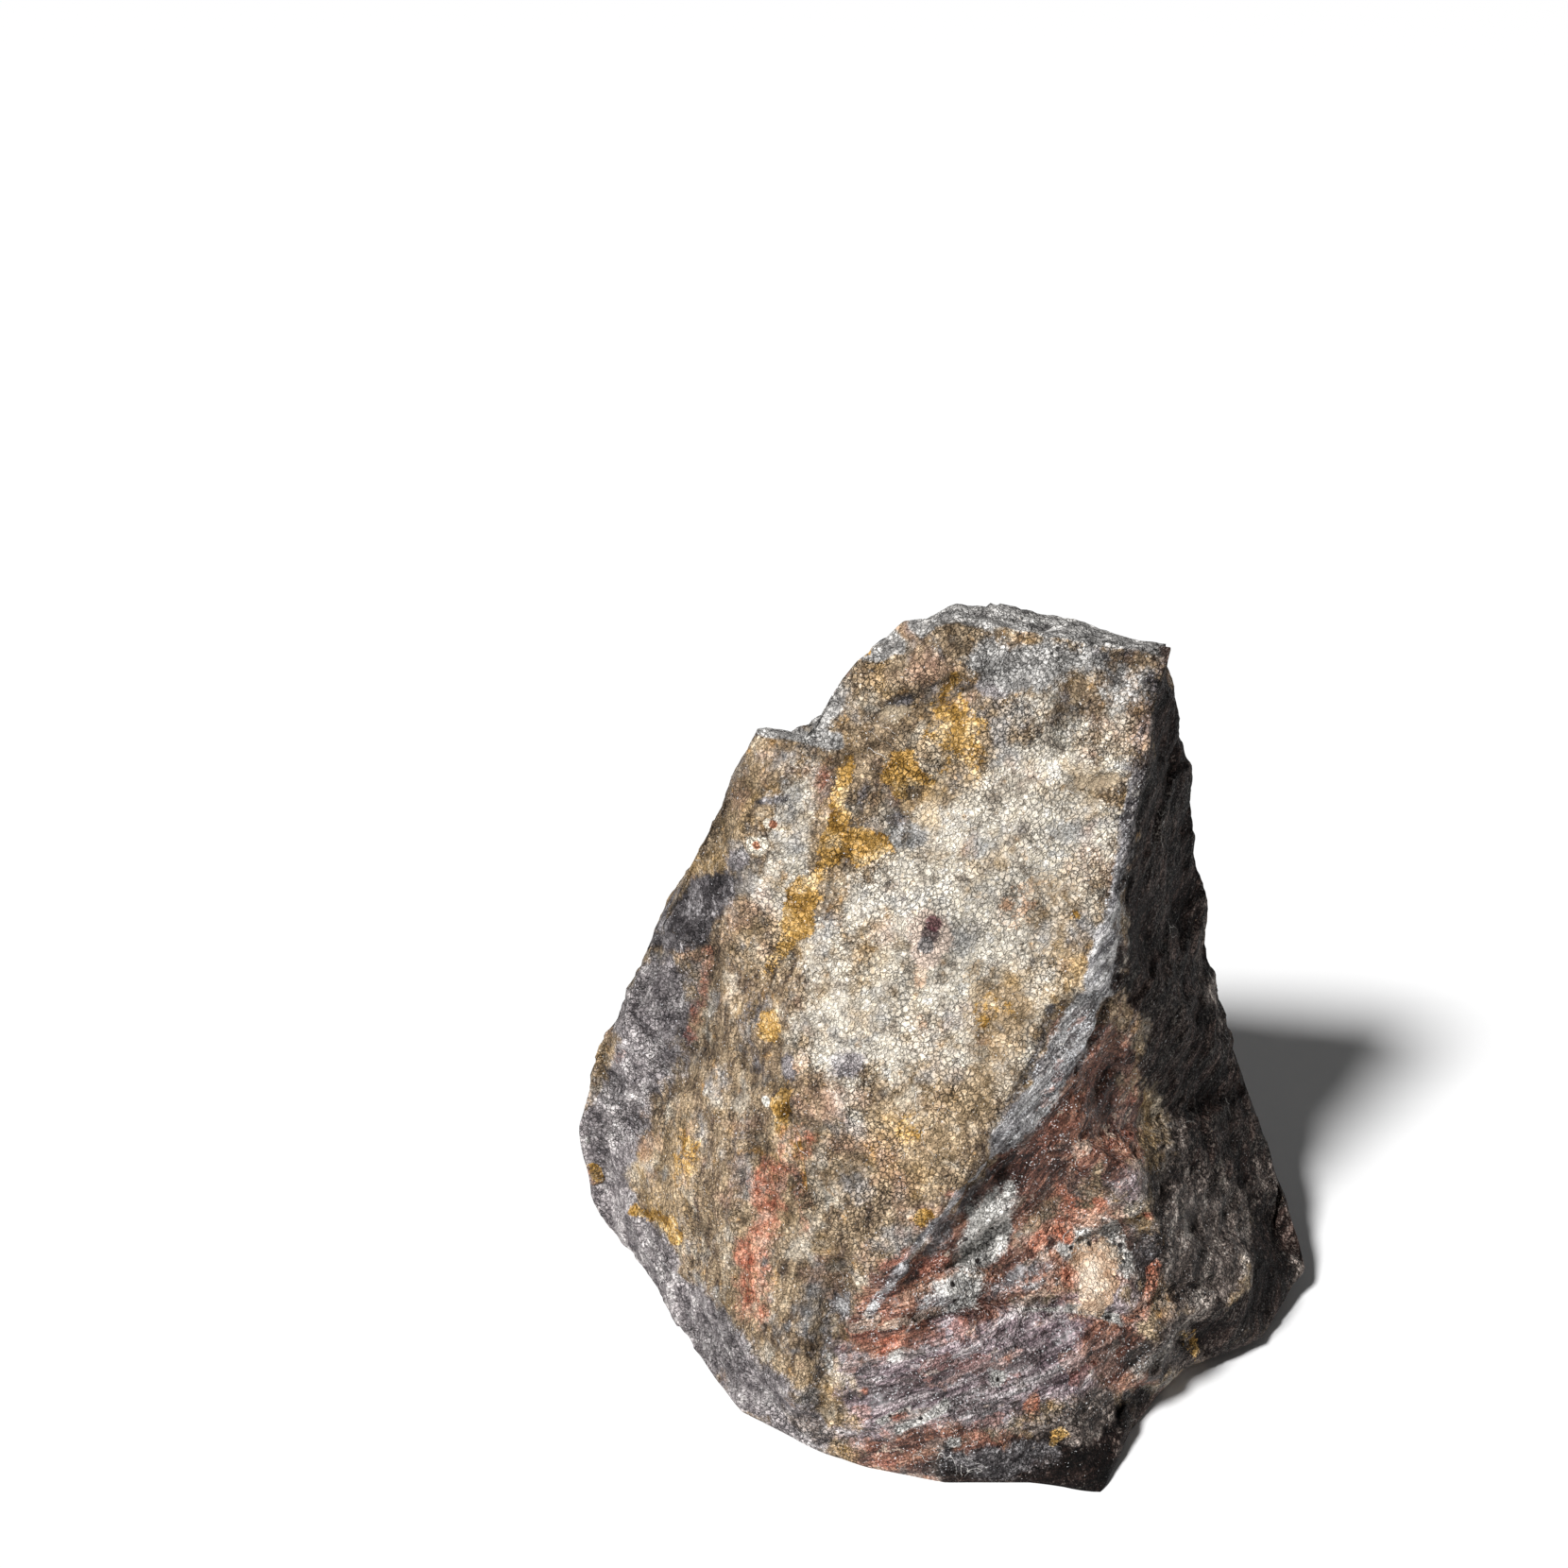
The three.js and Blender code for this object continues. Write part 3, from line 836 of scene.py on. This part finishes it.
def noise(where, scale, detail=2.0, rough=0.55, warp=0.0):
    # smooth noise about 0.5, with this many waves in a metre and finer layers by detail
    values = {"Vector": where, "Scale": scale, "Detail": detail, "Roughness": rough, "Distortion": warp}
    return where.node("ShaderNodeTexNoise", {"noise_dimensions": "3D"}, values)


def cells(where, scale, output, feature="F1"):
    # the distance or the colour of scattered cells, this many in a metre
    settings = {"voronoi_dimensions": "3D", "feature": feature}
    return where.node("ShaderNodeTexVoronoi", settings, {"Vector": where, "Scale": scale}, output)


def push(place, scale, detail, distance):
    # a vector whose three parts noise varies from 0 to this many metres
    return noise(place, scale, detail).sibling("Color").scale(distance)


def rockTextures(place):
    # the noises that parts of the finish share: even all ways, drawn out upright, or along the flow
    perMetre = rock["perMetre"]
    flow = place.painted("flow", "Vector")
    upright = place.vector("MULTIPLY", (1.0, 1.0, 0.22))
    shifted = place.vector("ADD", push(place, perMetre["grainPush"], 1.0, 0.004))
    grain = noise(place, 1 / rock["grainSize"], 2.0, 0.6)
    pores = noise(place, 1 / rock["poreSize"], 3.0, 0.6)
    return SimpleNamespace(
        place=place,
        flow=flow,
        grain=grain,
        pores=pores,
        edge=noise(place, perMetre["edge"], 3.0, 0.7) * 0.6 + grain * 0.25 + pores * 0.15,
        mottle=noise(place, perMetre["mottle"], 4.0, 0.7),
        lined=noise(upright, perMetre["lined"], 3.0, 0.65),
        streak=noise(flow, perMetre["streak"], 4.0, 0.74),
        hair=noise(upright, perMetre["hair"], 3.0, 0.65),
        fibre=noise(flow, perMetre["fibre"], 3.0, 0.65),
        seam=cells(shifted, perMetre["grains"], "Distance", "DISTANCE_TO_EDGE"),
        grainColour=cells(shifted, perMetre["grains"], "Color"),
        lump=cells(place, perMetre["lumps"], "Distance"),
        fibrous=place.painted("fibrous"),
        broken=place.painted("broken"),
    )


def tintColours(look, base):
    # soft patches of other colours, each where a slow noise, read at a place of its own, is high
    for tint, level, share, scale, shift in rock["tints"]:
        where = look.place.vector("ADD", (shift, shift * 0.7, 0.0))
        patches = noise(where, scale, 3.0, 0.65).rise(level - 0.03, level + 0.16)
        base = (patches * share).mix(base, colour(tint))
    return base


def fragmentColours(look, base):
    # fragments along the flow: cells with high numbers are pale and with low numbers dark
    perMetre = rock["perMetre"]
    longer = look.flow.vector("MULTIPLY", (4.5, 1.0, 1.0))
    warped = longer.vector("ADD", push(look.place, perMetre["fragmentPush"], 2.0, 0.012))
    number = cells(warped, perMetre["fragments"], "Color")
    chance = number.node("ShaderNodeSeparateColor", values={0: number})
    second = chance.sibling("Green")
    showing = (look.broken + (look.edge - 0.5)).rise(0.35, 0.7)
    pale = chance.rise(0.74, 0.77) * showing
    dark = chance.rise(0.22, 0.19) * showing
    base = (pale * 0.55).mix(base, second.ramp(rock["paleFragments"], 0.1, 0.9))
    return (dark * 0.6).mix(base, second.ramp(rock["darkFragments"], 0.1, 0.9))


def kindColours(look):
    # each kind of rock over those before it, where its mask, with the edge broken up by noise, is high
    base = look.lined.ramp(rock["ground"], *rock["spread"])
    for name, tints in rock["kinds"].items():
        vary = look.streak if name in rock["streaked"] else look.mottle
        low, high, ragged = rock["crispEdge"] if name in rock["crisp"] else rock["softEdge"]
        cover = (look.place.painted(name) + (look.edge - 0.5) * ragged).rise(low, high)
        base = cover.mix(base, vary.ramp(tints, *rock["spread"]))
        if name == "ochre":
            base = tintColours(look, base)
        if name == "paintedSheen":
            base = fragmentColours(look, base)
    return base


def spotColours(look, base, spotPlaces):
    # round marks, where the distance from the spot's place, in radii and ragged by noise, is below 1
    for spot, at in zip(rock["spots"], spotPlaces):
        away = look.place.vector("DISTANCE", at, "Value")
        reach = away * (1 / spot["radius"]) + (look.edge - 0.5) * 1.7
        base = reach.rise(1.15, 0.8, 0.0, 0.9).mix(base, colour(spot["tint"]))
    return base


def grainLight(look):
    # how light the rock is: grains of their own tones with dark seams and pores, giving way in part to
    # upright hairs and to fibres along the flow, and darkened by painted shade in hollows and in the zone
    # of painted shade
    painted = look.place.painted
    grain = look.grain
    own = look.grainColour.node("ShaderNodeSeparateColor", values={0: look.grainColour})
    depth = noise(look.place, rock["perMetre"]["seamDepth"]).rise(0.38, 0.62, 0.3, 0.8)
    seams = look.seam.rise(0.0, 0.085, depth, 1.04)
    light = own.rise(0.0, 1.0, 0.86, 1.14) * seams * look.pores.rise(0.34, 0.47, 0.6, 1.03)
    light = light * grain.rise(0.33, 0.67, 0.85, 1.15) * 1.05
    contrast = painted("cream").rise(0.3, 0.7, 1.9, 1.25) + look.broken * 1.1
    contrast = contrast + painted("shade") * 1.2 + painted("flankAndShade") * 1.5
    light = light.maths("POWER", light, contrast)
    hairs = look.hair.rise(0.36, 0.64, 0.25, 1.85) * grain.rise(0.33, 0.67, 0.75, 1.25)
    hairShare = (painted("hair") + (look.edge - 0.5) * 0.6).rise(0.2, 0.8, 0.0, 0.5)
    light = hairShare.between(light, hairs)
    fibres = look.fibre.rise(0.36, 0.64, 0.18, 2.0) * grain.rise(0.33, 0.67, 0.65, 1.35)
    fibreShare = (look.fibrous + (look.edge - 0.5) * 0.6).rise(0.2, 0.8, 0.0, 0.6)
    # painted shade: darker in the low places of the relief
    light = fibreShare.between(light, fibres) * painted("hollow").rise(0.3, 1.0, 1.0, 0.55)
    # painted shade: darker in the zone of painted shade
    light = light * painted("paintedShade").rise(0.0, 1.0, 1.0, 0.42)
    even = (painted("clay") + painted("peach") * 0.8).rise(0.3, 0.7, 0.0, 0.6)
    return even.between(light, 1.0)


def litColours(look, base, light):
    # the colours times the light, which carries the painted shade, frost on the brightest cream grains,
    # painted glints as highlights, dark pits in the chalk, and fine lines where a slow noise crosses its
    # middle value
    painted = look.place.painted
    perMetre = rock["perMetre"]
    frost = light.rise(1.0, 2.0) * painted("cream").rise(0.2, 0.8, 0.1, 0.45)
    base = frost.mix(base.scale(light * rock["brightness"]), colour(rock["frost"]))
    # painted glints: more highlights on the painted sheen and the broken rock, fewer in the painted shade
    paintedGlintBoost = painted("paintedSheen") * 0.08 + look.broken * 0.05 - painted("shade") * 0.05
    glint = (look.grain + paintedGlintBoost).rise(0.65, 0.71) * noise(look.place, perMetre["glints"]).rise(0.46, 0.56)
    base = glint.mix(base, colour(rock["glint"]))
    pits = look.lump.rise(0.24, 0.16) * painted("chalk").rise(0.4, 0.7)
    base = pits.mix(base, colour(rock["pit"]))
    line = noise(look.place, perMetre["scratches"], 1.0, 0.5, warp=0.6)
    near = line.maths("ABSOLUTE", line - 0.5)
    patches = noise(look.place, perMetre["scratchPatches"], 1.0).rise(0.62, 0.66)
    return (near.rise(0.004, 0.001) * patches).mix(base, colour(rock["scratch"]))


def rockBump(look):
    # lumps, lower on the cream rock, then grains between their seams, pores, streaks and fibres
    cream = look.place.painted("cream")
    rough = noise(look.place, rock["perMetre"]["roughness"], 3.0, 0.6)
    height = (look.lump * 0.8 + rough * 1.1) * cream.rise(0.3, 0.8, 1.0, 0.6)
    height = height + look.grain * 0.25 + look.seam.rise(0.0, 0.2) * 0.35 + look.pores * 0.5
    height = height + look.streak * 1.2 + look.fibre * look.fibrous
    values = {"Strength": 1.0, "Distance": rock["bump"], "Height": height}
    return height.node("ShaderNodeBump", values=values)


def rockMaterial(spotPlaces):
    # lit colours over the bump, with a thin gloss on the fibrous rock and smoother bright grains
    material = bpy.data.materials.new("wonderstoneRock")
    material.use_nodes = True
    material.node_tree.nodes.clear()
    start = Shade(material.node_tree)
    look = rockTextures(start.node("ShaderNodeTexCoord", output="Object"))
    base = spotColours(look, kindColours(look), spotPlaces)
    gloss = (look.fibrous - look.place.painted("shade")).rise(0.2, 0.8, 0.0, 0.35)
    values = {
        "Base Color": litColours(look, base, grainLight(look)),
        "Roughness": look.grain.rise(0.4, 0.7, 0.85, 0.5),
        "Normal": rockBump(look),
        "Coat Weight": gloss,
        "Coat Roughness": 0.35,
        "Specular IOR Level": 0.15,
    }
    shader = start.node("ShaderNodeBsdfPrincipled", values=values)
    start.node("ShaderNodeOutputMaterial", values={"Surface": shader})
    return material


studio = {
    "floorSide": 60.0,  # metres
    "floorColour": "f8f8f8",
    "keyFrom": (-0.42, -0.54, 0.73),  # direction towards the light
    "keyStrength": 4.4,
    "keySoftness": 9.0,  # degrees across
    "skyStrength": 0.09,
}


def makeStudio():
    # a wide pale floor, one soft sun and an even white sky
    half = studio["floorSide"] / 2
    corners = [(-half, -half, 0), (half, -half, 0), (half, half, 0), (-half, half, 0)]
    mesh = bpy.data.meshes.new("floor")
    mesh.from_pydata(corners, [], [(0, 1, 2, 3)])
    floor = bpy.data.objects.new("floor", mesh)
    bpy.context.collection.objects.link(floor)
    material = bpy.data.materials.new("paleFloor")
    material.use_nodes = True
    shader = material.node_tree.nodes["Principled BSDF"]
    shader.inputs["Base Color"].default_value = colour(studio["floorColour"])
    shader.inputs["Roughness"].default_value = 0.9
    mesh.materials.append(material)

    data = bpy.data.lights.new("keyLight", "SUN")
    data.energy, data.angle = studio["keyStrength"], math.radians(studio["keySoftness"])
    key = bpy.data.objects.new("keyLight", data)
    x, y, z = studio["keyFrom"]
    key.rotation_euler = (math.atan2(math.hypot(x, y), z), 0, math.atan2(y, x) + math.pi / 2)
    bpy.context.collection.objects.link(key)

    world = bpy.data.worlds.new("studioSky")
    world.use_nodes = True
    sky = world.node_tree.nodes["Background"]
    sky.inputs["Strength"].default_value = studio["skyStrength"]
    sky.inputs["Color"].default_value = (1, 1, 1, 1)
    bpy.context.scene.world = world
    bpy.context.scene.view_settings.view_transform = "Standard"
    print("stage: studio lit")


makeCamera()
wonderstone, spotPlaces = buildStone()
wonderstone.data.materials.append(rockMaterial(spotPlaces))
print("stage: rock painted")
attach(wonderstone, "root")
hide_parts("stone")
makeStudio()
